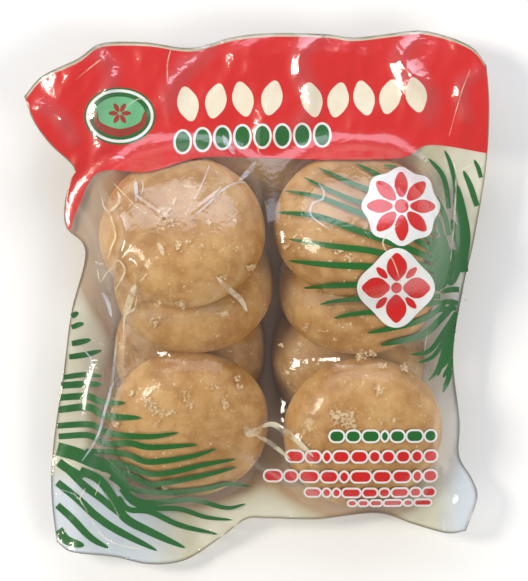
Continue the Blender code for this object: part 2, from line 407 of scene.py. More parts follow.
def add_creases(height, creases):
    """Raises a fold along each crease: its height times (1 - distance / half-width) squared, with the crest
    rounded and both ends tapered."""
    for points, rise, half in creases:
        line = smooth_line(points, 70)
        taper = np.sin(np.linspace(0, np.pi, len(line))) ** 0.6
        low, high = line.min(axis=0) - half, line.max(axis=0) + half
        rows = slice(int((low[1] + HALF_Y) / FINE), int((high[1] + HALF_Y) / FINE) + 2)
        columns = slice(int((low[0] + HALF_X) / FINE), int((high[0] + HALF_X) / FINE) + 2)
        gap = np.hypot(map_x[rows, columns, None] - line[:, 0], map_y[rows, columns, None] - line[:, 1])
        nearest = gap.argmin(axis=-1)
        away = np.sqrt(gap.min(axis=-1) ** 2 + 0.2)
        height[rows, columns] += rise * taper[nearest] * np.clip(1 - away / half, 0, 1) ** 1.7


def crumple(x, y, seed, count, shortest, longest):
    """Height of a crumpled sheet: folded ramps in many directions, each the distance to its nearest fold
    line, bent by slow noise, and averaged."""
    draw = np.random.default_rng(seed)
    total = np.zeros(x.shape)
    for _ in range(count):
        heading, length = draw.uniform(0, np.pi), draw.uniform(shortest, longest)
        sway, phase = draw.uniform(2.0, 5.0), draw.uniform(0, 7.0)
        across = x * np.cos(heading) + y * np.sin(heading)
        along = y * np.cos(heading) - x * np.sin(heading)
        wave = (across + sway * np.sin(along / 17.0 + phase)) / length + phase
        total += np.abs(wave - np.floor(wave) - 0.5) * length / longest
    return total / count


CRUMPLE = 9.0           # depth of the web's broad crumple
CRINKLE = 2.0           # depth of its fine one
fold_map = np.zeros(map_x.shape)
add_creases(fold_map, CREASES)
web_map = web_height(map_x, map_y) + fold_map
web_map += CRUMPLE * (crumple(map_x, map_y, 5, 4, 11.0, 30.0) - 0.17)
web_map += CRINKLE * (crumple(map_x, map_y, 9, 4, 5.0, 9.0) - 0.2)
sugar_top = sound_lumps(map_x, map_y, 1)
front_map = draw_tight(np.maximum(sugar_top, web_map + PLY), FRONT_CURVE)
back_map = -draw_tight(-np.minimum(sound_lumps(map_x, map_y, -1), web_map - PLY), BACK_CURVE)
back_map = np.maximum(back_map, 0.0)
loose = np.maximum(np.clip((front_map - sugar_top) / 0.8, 0, 1), np.clip((map_y - 16.0) / 14.0, 0, 1))
lifted = np.clip((front_map - web_map - PLY) / 4.0, 0, 1)
front_map += lifted * (0.9 * fold_map + 1.3 * crumple(map_x, map_y, 21, 4, 9.0, 19.0))

COLUMNS, ROWS = 280, 320


def sheet_faces(rows, columns, up=True):
    """Quads of a grid of points, facing up or down."""
    corner = (np.arange(rows - 1)[:, None] * columns + np.arange(columns - 1)).ravel()
    quads = np.stack([corner, corner + 1, corner + columns + 1, corner + columns], axis=1)
    return quads if up else quads[:, ::-1]


def clear_film():
    """Clear glossy laminate: see-through face on and mirror-like at a slant, whitened along its folds, with
    the weld's fine crossed ribs pressed into it."""
    n = Nodes("clear_film")
    where = n.add("TexCoord").outputs["Object"]
    fold = n.add("Attribute", attribute_name="fold").outputs["Fac"]
    weld = n.add("Attribute", attribute_name="weld").outputs["Fac"]
    loose = n.add("Attribute", attribute_name="loose").outputs["Fac"]
    slant = n.add("LayerWeight", {"Blend": 0.5}).outputs["Facing"]
    crinkle = n.add("TexNoise", {"Vector": where, "Scale": 260.0, "Detail": 2.0, "Roughness": 0.5,
                                 "Distortion": 1.4}).outputs[0]
    turned = n.add("Mapping", {"Vector": where, "Rotation": (0, 0, 0.785),
                               "Scale": (900.0, 900.0, 900.0)}).outputs[0]
    ribs = n.add("TexChecker", {"Vector": turned, "Scale": 1.0}).outputs["Fac"]
    height = n.maths("ADD", crinkle, n.maths("MULTIPLY", n.maths("MULTIPLY", ribs, weld), 0.30))
    bump = n.add("Bump", {"Height": height, "Strength": 0.35, "Distance": 0.0006})
    n.feed("Normal", bump.outputs[0])
    see = n.maths("ADD", 0.022, n.maths("MULTIPLY", loose, 0.048))
    see = n.maths("ADD", see, n.maths("MULTIPLY", n.maths("POWER", slant, 3.0), 0.22))
    see = n.maths("ADD", see, n.maths("MULTIPLY", fold, 0.10))
    n.feed("Alpha", n.maths("MINIMUM", see, 0.8))
    n.shader.inputs["Base Color"].default_value = (0.95, 0.95, 0.94, 1)
    n.shader.inputs["Metallic"].default_value = 1.0
    n.shader.inputs["Roughness"].default_value = 0.09
    return n.material


def hazy_film():
    """The back ply: cream where it lies against the front ply, bluish towards the right and the low left
    corner as a painted reflection of the sky, tan round the lumps, partly oil and sugar dust and partly
    painted shade in the gaps between them, and dark along its cut edge."""
    n = Nodes("hazy_film")
    where = n.add("TexCoord").outputs["Object"]
    near = n.add("Attribute", attribute_name="near").outputs["Fac"]
    cool = n.add("Attribute", attribute_name="cool").outputs["Fac"]
    rim = n.add("Attribute", attribute_name="rim").outputs["Fac"]
    cloudy = n.add("TexNoise", {"Vector": where, "Scale": 45.0, "Detail": 3.0}).outputs[0]
    cream = n.mix(n.ramp(cloudy, 0.35, 0.65), (0.62, 0.59, 0.36, 1), (0.80, 0.78, 0.56, 1))
    # Painted reflection of the sky: pale blue mixed in towards the right and the low left corner.
    pale = n.mix(cool, cream, (0.66, 0.76, 0.84, 1))
    # Tan round the lumps, and less clear there: partly oil and sugar dust, partly painted shade in the gaps
    # between them.
    colour = n.mix(near, pale, (0.50, 0.31, 0.13, 1))
    n.feed("Base Color", n.mix(rim, colour, (0.16, 0.13, 0.09, 1)))
    see = n.maths("ADD", 0.58, n.maths("MULTIPLY", near, 0.22))
    n.feed("Alpha", n.maths("MINIMUM", n.maths("ADD", see, rim), 1.0))
    n.shader.inputs["Roughness"].default_value = 0.25
    return n.material


POUCH_WIDTH, POUCH_LENGTH = 158.0, 198.0      # between the pouch's edges, across and along its middle
WELD_WIDTH = 7.0
RIM_WIDTH = 1.1         # width of the dark cut edge
WALL_RISE = 3.0         # height above the web at which the back ply is fully tan
FOLD_RISE = 0.9         # crease height at which the film is fully whitened


def film_sheet(name, height, columns, rows, up, finish):
    """One sheet of film as a grid over the pouch's plan, whose rim lies on the web's middle. Its fields, each
    from 0 to 1, say where it is near the lumps (tan dust and painted shade), bluish with a painted sky
    reflection, loose, welded, at its rim and folded."""
    plan = pouch_plan(columns, rows)
    x, y = plan[..., 0], plan[..., 1]
    z = read_map(height, x, y)
    rim = read_map(web_map, x, y)
    for edge in (np.s_[0], np.s_[-1], np.s_[:, 0], np.s_[:, -1]):
        z[edge] = rim[edge]
    points = np.concatenate([plan, z[..., None]], axis=-1)
    piece = mesh_of(name, points, sheet_faces(rows + 1, columns + 1, up))
    row, column = np.mgrid[0:rows + 1, 0:columns + 1]
    ends = np.minimum(row, rows - row) * POUCH_LENGTH / rows
    inward = np.minimum(ends, np.minimum(column, columns - column) * POUCH_WIDTH / columns)
    # Painted sky reflection: where the back ply is tinted bluish, towards the right edge and the low left
    # corner.
    right = np.clip((x - 66.0) / 8.0, 0, 1) * np.clip((12.0 - y) / 20.0, 0, 1)
    corner = np.clip((-62.0 - y) / 8.0, 0, 1) * np.clip((-26.0 - x) / 16.0, 0, 1)
    # Near the lumps, where the front film stands above the web: tan dust and painted shade on the back ply.
    wall = np.clip(read_map(front_map - web_map, x, y) / WALL_RISE - 0.15, 0, 1)
    fields = {
        "near": wall * (1 - 0.7 * np.clip((x - 54.0) / 10.0, 0, 1)),
        "cool": np.maximum(right, corner),
        "loose": read_map(loose, x, y),
        "weld": np.clip((WELD_WIDTH - ends) / 0.8, 0, 1),
        "rim": np.clip(1.2 - inward / RIM_WIDTH, 0, 1),
        "fold": np.clip(read_map(fold_map, x, y) / FOLD_RISE, 0, 1),
    }
    for label, value in fields.items():
        piece.data.attributes.new(label, "FLOAT", "POINT").data.foreach_set("value", value.ravel())
    piece.data.materials.append(finish)
    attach(piece, "root")
    return piece


front_film = film_sheet("front_film", front_map, COLUMNS, ROWS, True, clear_film())
back_film = film_sheet("back_film", back_map, COLUMNS // 2, ROWS // 2, False, hazy_film())
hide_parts("sealed_bag")
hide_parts("sealed_bag")

# ---- The print ------------------------------------------------------------------------------------
# Opaque inks printed on the inner side of the front ply: a red band across the top with cream and green
# ornaments, two palm fronds, white-edged red rosettes and plain bars. Each lies just under the film.

slope_y, slope_x = np.gradient(front_map, FINE)


def on_film(x, y, depth):
    """Points that deep under the front film, measured along its normal."""
    tilt_x, tilt_y = read_map(slope_x, x, y), read_map(slope_y, x, y)
    steep = np.sqrt(1 + tilt_x**2 + tilt_y**2)
    z = read_map(front_map, x, y)
    return np.stack([x + depth * tilt_x / steep, y + depth * tilt_y / steep, z - depth / steep], axis=-1)


def ink(name, colour, patchy=0.06):
    """Opaque ink of one colour with a slightly uneven laydown."""
    n = Nodes(name)
    where = n.add("TexCoord").outputs["Object"]
    uneven = n.add("TexNoise", {"Vector": where, "Scale": 420.0, "Detail": 3.0}).outputs[0]
    light = tuple(min(1.0, c * (1 + patchy) + patchy * 0.05) for c in colour) + (1,)
    dark = tuple(c * (1 - patchy) for c in colour) + (1,)
    n.feed("Base Color", n.mix(uneven, dark, light))
    n.shader.inputs["Roughness"].default_value = 0.35
    return n.material


RED = ink("ink_red", (0.68, 0.005, 0.001), 0.04)
GREEN = ink("ink_green", (0.006, 0.135, 0.012))
WHITE = ink("ink_white", (0.86, 0.86, 0.84))
CREAM = ink("ink_cream", (0.88, 0.80, 0.62))
INK_DEPTH = 0.10


def print_patch(name, x, y, depth, colour):
    """A printed field whose places are grids of x and y, laid under the film."""
    piece = mesh_of(name, on_film(x, y, depth), sheet_faces(*x.shape))
    piece.data.materials.append(colour)
    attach(piece, "root")
    return piece


# The red band fills the pouch above a wavy line, left to right, up to a bare strip along the top weld.
BAND_EDGE = [(-95, 14), (-72, 22), (-66.9, 31.7), (-58.7, 46.2), (-39.5, 46.5), (-21.0, 51.7), (1.9, 51.7),
             (27.1, 51.0), (53.0, 51.7), (64.1, 56.5), (86, 53.4), (95, 53.4)]
BAND_COLUMNS, BAND_ROWS = 380, 130
BARE_STRIP = 0.007      # share of the pouch's height above the band


def band_places():
    """Places of the red band: on each column of the pouch's plan, evenly spaced rows from where the column
    crosses the wavy line up to the bare strip."""
    plan = pouch_plan(BAND_COLUMNS, ROWS)[:, 1:-1]
    line = smooth_line(BAND_EDGE, 600)
    above = plan[..., 1] - np.interp(plan[..., 0], line[:, 0], line[:, 1])
    first = (above > 0).argmax(axis=0)
    column = np.arange(plan.shape[1])
    under, over = above[first - 1, column], above[first, column]
    start = first - 1 + under / (under - over)
    rows = start + (ROWS * (1 - BARE_STRIP) - start) * np.linspace(0, 1, BAND_ROWS)[:, None]
    low = np.minimum(rows.astype(int), ROWS - 1)
    share = (rows - low)[..., None]
    places = plan[low, column] * (1 - share) + plan[low + 1, column] * share
    return places[..., 0], places[..., 1]


print_patch("red_band", *band_places(), INK_DEPTH + 0.10, RED)


def print_many(name, grids, depth, colour):
    """Like printed marks as one piece: each a grid of places, turned to face up where it faces down."""
    x, y = (np.array([grid[k] for grid in grids]) for k in (0, 1))
    marks, rows, columns = x.shape
    turned = np.sum((x[:, :-1, 1:] - x[:, :-1, :-1]) * (y[:, 1:, :-1] - y[:, :-1, :-1])
                    - (y[:, :-1, 1:] - y[:, :-1, :-1]) * (x[:, 1:, :-1] - x[:, :-1, :-1]), axis=(1, 2)) < 0
    quads = sheet_faces(rows, columns)
    faces = np.concatenate([(quads[:, ::-1] if down else quads) + mark * rows * columns
                            for mark, down in enumerate(turned)])
    piece = mesh_of(name, on_film(x, y, depth), faces)
    close_poles(piece)
    piece.data.materials.append(colour)
    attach(piece, "root")
    return piece


def stroke(points, half, along=60, across=5, root=0.75):
    """A brush stroke along a smooth line: its half-width grows from root times half to half, and closes to a
    point as the square root of one minus the fourth power of the way along."""
    line = smooth_line(points, along)
    way = np.linspace(0, 1, along + 1)
    ahead = np.gradient(line, axis=0)
    ahead /= np.linalg.norm(ahead, axis=1)[:, None]
    width = half * (root + (1 - root) * np.minimum(1, way * 3)) * np.sqrt(np.maximum(1 - way**4, 0.0004))
    side = np.linspace(-1, 1, across)[:, None] * width
    return line[:, 0] - side * ahead[:, 1], line[:, 1] + side * ahead[:, 0]


# Palm leaflets and their stems, each with its half-width and its points from root to tip, in millimetres:
# first those that fan out from the low left edge, then those from the right edge.
LEAFLETS = [
    (1, [(-68.5, -7), (-67, -6), (-66, -5.5)]),
    (1, [(-68.5, -11), (-66, -10), (-64, -9.5)]),
    (1.1, [(-68.5, -17), (-65.5, -16.5), (-61.5, -15.5)]),
    (1.1, [(-69.5, -22), (-63, -21), (-57.5, -19.5)]),
    (1, [(-71.5, -29.5), (-64, -28.5), (-57.5, -29)]),
    (1.3, [(-72.5, -32.5), (-64, -32), (-57, -32)]),
    (1.3, [(-73, -37), (-63, -36.5), (-57.5, -38.5), (-48.5, -38.5)]),
    (1.4, [(-73.5, -41.5), (-62.5, -40.5), (-56, -43.5), (-42.5, -44)]),
    (1.2, [(-74, -47.5), (-61.5, -47), (-55, -50), (-39.5, -51), (-28.5, -49.5)]),
    (1.2, [(-73.5, -51.5), (-62.5, -51), (-56.5, -54), (-47, -53.5), (-39, -55), (-21.5, -54)]),
    (1.1, [(-63.5, -57), (-54.5, -57), (-47.5, -58), (-39.5, -60.5), (-24.5, -58.5), (-14.5, -55.5)]),
    (1.1, [(-63.5, -61), (-53.5, -61), (-47, -62.5), (-40, -65), (-32, -64.5), (-19, -61.5),
          (-7.5, -59.5)]),
    (1.1, [(-58, -63.5), (-48.5, -65), (-40, -69), (-34, -68.5), (-19, -65.5), (-7, -62.5)]),
    (1.1, [(-54.5, -66.5), (-47.5, -70.5), (-39.5, -72), (-28.5, -72), (-17.5, -70.5), (-10.5, -69),
          (-2, -70)]),
    (1.1, [(-51.5, -68), (-47, -73.5), (-41.5, -76), (-32, -75.5), (-23, -75), (-11.5, -78), (-4, -76.5)]),
    (1, [(-50.5, -71), (-46, -76), (-39.5, -78), (-28.5, -78.5), (-19, -81.5), (-9, -82.5)]),
    (1.1, [(-51.5, -74), (-47.5, -78.5), (-39.5, -79.5), (-28.5, -84.5), (-14.5, -88)]),
    (1.7, [(-65.5, -64), (-58, -68), (-52, -76.5), (-48.5, -82), (-39.5, -87), (-26.5, -93)]),
    (1.4, [(-70.5, -63.5), (-63, -70.5), (-56.5, -75.5), (-50, -81.5)]),
    (1.5, [(-74, -68.5), (-66, -75), (-59.5, -81), (-51.5, -86.5), (-37, -94)]),
    (1.4, [(-74, -77), (-68.5, -82), (-61.5, -89), (-55, -93)]),
    (1.7, [(-73.5, -86), (-70.5, -90), (-64, -92)]),
    (1, [(65, 30.5), (53, 46.5), (46.5, 49)]),
    (1, [(65.5, 26.5), (53, 39), (45, 45), (36.5, 49.5)]),
    (1, [(66.5, 23), (53, 34.5), (35, 42), (22.5, 48)]),
    (1, [(67, 19), (49.5, 30.5), (31, 37.5), (17, 44.5)]),
    (1.1, [(67, 15.5), (53, 24.5), (36.5, 31.5), (22.5, 37), (10, 39.5)]),
    (1.3, [(68, 12.5), (56.5, 17.5), (34.5, 25.5), (21.5, 30), (7, 31.5)]),
    (1.2, [(68, 9.5), (56.5, 13), (42.5, 17), (27, 19), (11.5, 21.5)]),
    (1.3, [(68, 6.5), (53, 10.5), (27, 12), (11.5, 13.5)]),
    (1.2, [(68, 3.5), (53, 5), (31, 4.5), (17, 3.5)]),
    (1.1, [(68, 0.5), (53, 0.5), (31, -1), (23, -2.5)]),
    (1, [(68, -1.5), (53, -4), (35, -6), (28, -7.5)]),
    (1.1, [(69.5, -2.5), (62.5, -7.5), (53, -10.5), (40.5, -13)]),
    (1.3, [(73, -2.5), (68, -8), (60.5, -14), (45.5, -17.5)]),
    (1, [(74, -5.5), (69.5, -12.5), (64, -19.5), (57, -21)]),
    (0.9, [(73.5, -8), (70.5, -14), (65.5, -21.5), (59.5, -24)]),
    (1, [(73, -12), (70, -18), (67, -26.5), (63.5, -30.5)]),
    (0.8, [(71, -19.5), (69, -24), (67, -29)]),
    (0.9, [(72.5, -14), (72, -17), (70, -21)]),
    (0.9, [(72, -18), (71.5, -21), (69, -26)]),
    (1, [(72, -22.5), (71.5, -25.5), (69, -29.5)]),
    (1, [(72, -26.5), (71, -30), (69, -35)]),
    (1.1, [(75, 3), (72, 3), (68, 2)]),
    (1, [(74.5, -2), (71.5, -1.5), (66.5, -2)]),
    (0.9, [(74, -4), (71, -4), (66.5, -5)]),
    (1, [(71, 33), (70, 41.5), (68, 46.5), (63.5, 51.5)]),
    (0.9, [(73.5, 34.5), (73.5, 42), (71.5, 50), (69.5, 54.5)]),
    (2.2, [(76, 13), (77, 23), (75.5, 33), (74, 42)]),
    (1.1, [(81.5, 34), (79, 41.5), (76.5, 47)]),
    (0.8, [(83, 44.5), (82, 48), (80.5, 51)]),
    (2, [(76.5, 9.5), (75.5, 19), (72, 29)]),
    (1, [(69.5, 20), (67, 27.5), (64, 34)]),
    (1, [(71, 23), (69.5, 30), (66.5, 37.5)]),
]
STEMS = [
    (2.5, [(-74, -56), (-67, -58), (-60, -61), (-53.5, -63.5), (-47.5, -70.5)]),
    (1.6, [(-73.5, -61), (-70, -63.5), (-64, -66.5)]),
    (3.6, [(66.5, 22), (68, 16), (68.5, 9.5), (68, 3)]),
    (2.8, [(74.5, 17.5), (73, 11), (71.5, 4.5)]),
]
print_many("palm_leaflets", [stroke(points, half, root=0.9) for half, points in LEAFLETS],
           INK_DEPTH + 0.08, GREEN)
print_many("palm_stems", [stroke(points, half, root=1.0) for half, points in STEMS],
           INK_DEPTH + 0.06, GREEN)


def blob(centre, radius, turn=0.0, rings=12, spokes=96):
    """A mark about its centre: every spoke reaches the radius that the given function of the angle says."""
    angle = np.linspace(0, 2 * np.pi, spokes + 1)
    reach = radius(angle) * np.linspace(0, 1, rings)[:, None]
    return centre[0] + reach * np.cos(angle + turn), centre[1] + reach * np.sin(angle + turn)


def oval(wide, high):
    """Radius of an ellipse with those two half-axes."""
    return lambda angle: wide * high / np.sqrt((high * np.cos(angle)) ** 2 + (wide * np.sin(angle)) ** 2)


def petal(long, wide):
    """Radius of a pointed petal: an ellipse whose ends are drawn out by the fourth power of the cosine."""
    return lambda angle: oval(long * 0.82, wide)(angle) + long * 0.18 * np.cos(angle) ** 16


def scallop(mean, waves, depth):
    """Radius of a scalloped disc: its mean times one plus a cosine of that many waves."""
    return lambda angle: mean * (1 + depth * np.cos(waves * angle))


def rosette(centre, petals, inner, reach, wide, turn=0.0):
    """A ring of petals, each pointing out from the centre."""
    marks = []
    for heading in turn + 2 * np.pi * np.arange(petals) / petals:
        middle = (inner + reach) / 2
        place = (centre[0] + middle * np.cos(heading), centre[1] + middle * np.sin(heading))
        marks.append(blob(place, petal((reach - inner) / 2, wide), heading))
    return marks


# The round badge on the band: an edged green oval with a small flower.
BADGE = (-50.6, 67.2)
PALE_GREEN = ink("ink_pale_green", (0.16, 0.50, 0.24))
DARK_RED = ink("ink_dark_red", (0.34, 0.030, 0.010))
print_many("badge_rim", [blob(BADGE, oval(13.2, 10.6), rings=30)], INK_DEPTH + 0.07, GREEN)
print_many("badge_edge", [blob(BADGE, oval(12.5, 9.9), rings=30)], INK_DEPTH + 0.04, WHITE)
print_many("badge_field", [blob(BADGE, oval(11.4, 8.8), rings=28)], INK_DEPTH + 0.01, GREEN)
print_many("badge_middle", [blob(BADGE, oval(9.6, 7.2), rings=24)], INK_DEPTH - 0.02, PALE_GREEN)
CRESCENT = [(-60.0, 69.0), (-58.4, 63.8), (-50.6, 61.0), (-42.8, 63.8), (-41.2, 69.0)]
print_many("badge_crescent", [stroke(CRESCENT, 1.5)],
           INK_DEPTH - 0.03, DARK_RED)
print_many("badge_flower", rosette((BADGE[0], BADGE[1] + 1.0), 6, 0.6, 4.2, 0.9), INK_DEPTH - 0.04, DARK_RED)

# The row of cream petals and the row of white-edged green dots on the band.
PETAL_ROW = [(-25.4, 71.7), (-15.1, 72.8), (-5.1, 73.5), (5.6, 73.9), (20.4, 73.2), (30.1, 73.2),
             (39.7, 73.9), (49.3, 74.4), (58.9, 75.0)]
print_many("petal_row", [blob(place, petal(6.6, 3.9), np.pi / 2 + 0.22 * (-1) ** order)
                         for order, place in enumerate(PETAL_ROW)], INK_DEPTH + 0.04, CREAM)
dot_row = smooth_line([(-27.3, 57.6), (-10.0, 59.4), (8.0, 59.8), (24.2, 60.2)], 7)
print_many("dot_edges", [blob(place, oval(3.5, 4.7)) for place in dot_row], INK_DEPTH + 0.06, WHITE)
print_many("dots", [blob(place, oval(2.6, 3.8)) for place in dot_row], INK_DEPTH, GREEN)

# The two red ornaments on white.
UPPER_ORNAMENT, LOWER_ORNAMENT = (53.0, 33.6), (51.2, 3.6)
print_many("ornament_grounds", [blob(UPPER_ORNAMENT, scallop(14.0, 8, 0.05), rings=32, spokes=160),
                                blob(LOWER_ORNAMENT, scallop(13.4, 4, 0.09), rings=32, spokes=160)],
           INK_DEPTH + 0.05, WHITE)
print_many("ornaments", rosette(UPPER_ORNAMENT, 8, 3.2, 12.8, 2.5)
           + rosette(LOWER_ORNAMENT, 4, 2.4, 12.8, 3.8)
           + rosette(LOWER_ORNAMENT, 4, 5.0, 10.5, 1.3, np.pi / 4)
           + [blob(UPPER_ORNAMENT, oval(2.6, 2.6)), blob(LOWER_ORNAMENT, oval(2.0, 2.0))], INK_DEPTH, RED)

# Rows of plain bars at the lower right, shorter in height where the film turns down.
BAR_ROWS = [(27.0, 66.0, -50.8, 1.8, 7), (11.0, 66.5, -58.4, 1.8, 10), (3.0, 66.5, -65.9, 1.8, 10),
            (18.0, 66.0, -72.0, 1.3, 9), (34.0, 64.5, -76.0, 0.8, 6)]
BAR_EDGE = 0.75


def bar(start, end, y, half):
    """A plain bar with round ends: the half-width follows a circle over the last half-width of its length."""
    x = start + (end - start) * (1 - np.cos(np.linspace(0, np.pi, 50))) / 2
    tail = np.clip(half - np.minimum(x - start, end - x), 0, half)
    side = np.linspace(-1, 1, 7)[:, None] * np.sqrt(np.maximum(half**2 - tail**2, 0.0001))
    return np.broadcast_to(x, side.shape), y + side


def bar_row(start, end, y, half, count, grow, seed):
    """Bars of uneven lengths with even gaps between them, filling the row from start to end."""
    share = np.random.default_rng(seed).uniform(0.5, 1.6, count)
    gap = 1.3
    lengths = share / share.sum() * (end - start - gap * (count - 1))
    starts = start + np.concatenate([[0], np.cumsum(lengths + gap)[:-1]])
    return [bar(a - grow, a + length + grow, y, half + grow) for a, length in zip(starts, lengths)]


rows = [[bar_row(*row, grow, 40 + order) for order, row in enumerate(BAR_ROWS)] for grow in (BAR_EDGE, 0.0)]
print_many("bar_edges", sum(rows[0], []), INK_DEPTH + 0.06, WHITE)
print_many("green_bars", rows[1][0], INK_DEPTH, GREEN)
print_many("red_bars", sum(rows[1][1:], []), INK_DEPTH, RED)

# ---- Crumbs and painted crease highlights ---------------------------------------------------------
# Sugar flakes trapped flat under the film, and sharp painted highlights and window reflections along the
# film's folds, the cream ones also standing for the folds' whitening.

# Flakes: x, y and size, in millimetres.
FLAKES = [
    (-33.5, 31.5, 3.4), (-30, 35, 1.6), (-32, 27.5, 2.2), (-17.5, 27.5, 1.4), (-8, 28, 1.2),
    (-14.5, 46, 0.9), (-28.5, 19.5, 1.8), (-25, 20.5, 1), (-20, 19, 0.9), (-2, 11, 1.8), (-12, 7.5, 1.2),
    (-36, -2, 1.6), (-27.5, -2.5, 2), (-38, -9, 1.8), (-36, -7.5, 1), (-50, -18, 1.5), (-40.5, -35.5, 2.2),
    (-39.5, -38.5, 2.8), (-37.5, -41, 2.4), (-34, -42.5, 2.2), (-31, -42, 1.4), (-37, -46.5, 1.2),
    (-25.5, -36.5, 1.8), (-24.5, -39.5, 1.4), (-15.5, -32.5, 1.4), (-7, -29.5, 1.5), (-6, -32.5, 1.5),
    (-11.5, -39, 1.8), (-46, -35, 1.2), (-52, -46.5, 1.4), (32.5, -44.5, 4), (29.5, -43, 3),
    (35, -46.5, 2.2), (45.5, -45, 1.4), (50.5, -45, 1.2), (45, -33.5, 2.2), (54.5, -25.5, 1.8),
    (60, -39.5, 1), (46.5, -25, 1.6), (38.5, -21, 2.4), (42.5, -20.5, 1.6), (18, -11, 1.6), (16, -17, 1.2),
    (30, 17.5, 2), (27, 13, 1.2), (33.5, 14.5, 1.8), (14.5, -19.5, 1), (9, -17.5, 1), (11, -27.5, 1.2),
    (-34, -71, 1.4), (39, 24.5, 1.2), (10.5, 19, 1.4),
]
CRUMB_COUNT = 260


def ragged(size, seed):
    """Radius of a ragged flake: its size times one plus four cosines of random depth and turn."""
    draw = np.random.default_rng(seed)
    depths, turns = draw.uniform(0.08, 0.26, 4), draw.uniform(0, 7, 4)
    waves = (2, 3, 5, 9)
    return lambda angle: size * (1 + sum(d * np.cos(k * angle + t) for k, d, t in zip(waves, depths, turns)))


def flaked_sugar():
    """Pale dry sugar: cream with a coarse grain."""
    n = Nodes("flaked_sugar")
    where = n.add("TexCoord").outputs["Object"]
    grain = n.add("TexNoise", {"Vector": where, "Scale": 900.0, "Detail": 3.0, "Roughness": 0.65}).outputs[0]
    n.feed("Base Color", n.mix(n.ramp(grain, 0.35, 0.65), (0.58, 0.38, 0.18, 1), (0.80, 0.62, 0.37, 1)))
    n.feed("Alpha", n.maths("MULTIPLY", n.ramp(grain, 0.30, 0.58), 0.85))
    n.feed("Normal", n.add("Bump", {"Height": grain, "Strength": 0.35, "Distance": 0.0003}).outputs[0])
    n.shader.inputs["Roughness"].default_value = 0.6
    return n.material


draw = np.random.default_rng(77)
crumbs = []
for order in range(CRUMB_COUNT):
    lump = list(LUMPS.values())[2 + order % 6]
    place = np.array(lump[:2]) + draw.normal(0, 11.0, 2)
    crumbs.append(blob(place, ragged(draw.uniform(0.16, 0.42), order), rings=3, spokes=14))
dry_sugar = flaked_sugar()
print_many("sugar_crumbs", crumbs, INK_DEPTH + 0.13, dry_sugar)
print_many("sugar_flakes", [blob((x, y), ragged(0.8 * size, order), 2.4 * order, 6, 40)
                            for order, (x, y, size) in enumerate(FLAKES)],
           INK_DEPTH + 0.12, dry_sugar)


def fold_highlight_finish(name, colour, see):
    """Painted highlight line along a fold of the film, glossy and a little uneven along its length; in cream
    it also stands for the fold's whitening.
    """
    n = Nodes(name)
    where = n.add("TexCoord").outputs["Object"]
    patchy = n.add("TexNoise", {"Vector": where, "Scale": 160.0, "Detail": 3.0}).outputs[0]
    n.feed("Alpha", n.maths("MULTIPLY", n.maths("ADD", 0.35, n.ramp(patchy, 0.35, 0.60)), see))
    n.shader.inputs["Base Color"].default_value = colour
    n.shader.inputs["Roughness"].default_value = 0.12
    n.shader.inputs["Specular IOR Level"].default_value = 0.9
    return n.material


# Painted highlight lines along creases: half-width and points, in millimetres; cream ones, which also stand
# for the folds' whitening, then bluish ones, painted reflections of the window.
CREAM_HIGHLIGHT_LINES = [
    (0.5, [(-57, 37.5), (-56, 33.5), (-53.5, 30), (-51.5, 23), (-53, 18.5), (-54.5, 14)]),
    (0.9, [(-51, 39), (-50, 36), (-52, 33), (-54.5, 31.5)]),
    (0.35, [(-59.5, 13.5), (-58.5, 10.5), (-57.5, 6), (-55, 9), (-52, 11.5)]),
    (0.35, [(-59.5, 13.5), (-57.5, 12.5), (-56, 12.5)]),
    (0.5, [(-52, 13), (-50, 13.5), (-48, 10.5), (-49, 7.5), (-52, 2.5)]),
    (1.9, [(-44, 5), (-45.5, 1.5), (-47, -2.5), (-48.5, -6.5)]),
    (0.6, [(-43.5, 1), (-45, -4), (-48.5, -7), (-49, -15.5)]),
    (0.35, [(-40, 9), (-41, 7.5), (-42.5, 6)]),
    (0.25, [(-55, 44.5), (-48.5, 38), (-43, 32.5), (-37.5, 28)]),
    (1.2, [(-36, 20), (-34.5, 17.5), (-34, 15.5)]),
    (1.5, [(-14.5, 7.5), (-10, 3), (-6, -0.5), (-3.5, -5)]),
    (2.4, [(-4.5, -47), (-2.5, -49.5), (2, -48.5)]),
    (1.5, [(-1, -48.5), (5.5, -46.5), (11, -49.5), (16, -53.5), (21, -58.5)]),
    (1.2, [(-0.5, -50.5), (3.5, -52.5), (7, -55), (12.5, -59.5)]),
    (0.35, [(-74.5, -58), (-70, -61), (-66, -63.5)]),
    (0.3, [(-60, -73.5), (-59, -70.5), (-58, -67.5)]),
    (0.3, [(-64, -78), (-65.5, -74.5), (-64, -71)]),
    (0.3, [(-68, -71.5), (-66, -74.5), (-63.5, -70.5)]),
    (0.3, [(-48, -61.5), (-47, -65.5)]),
    (0.3, [(-56.5, -72), (-53.5, -76.5), (-51, -81.5)]),
    (0.35, [(-64, -78), (-61, -83), (-56.5, -89), (-48.5, -92.5), (-39.5, -93.5)]),
    (0.5, [(70.5, 55.5), (73.5, 46.5), (73, 30.5), (71.5, 13)]),
    (0.35, [(63, -12), (62.5, -15.5), (62, -20)]),
    (0.3, [(74, 46.5), (77.5, 48), (79.5, 49.5)]),
    (0.4, [(52.5, 27.5), (46, 20.5), (50, 13), (53, 4.5)]),
    (0.3, [(-55, 90), (-61, 85.5), (-67, 80.5)]),
    (0.35, [(-31.5, 93), (-33, 87), (-33, 80)]),
    (0.3, [(-49, 69.5), (-47, 71.5), (-43.5, 73.5), (-39.5, 73)]),
    (0.3, [(1, 58.5), (0.5, 54.5), (2, 52.5)]),
    (0.25, [(79, 84.5), (76, 77), (73.5, 68.5), (71, 59.5)]),
]
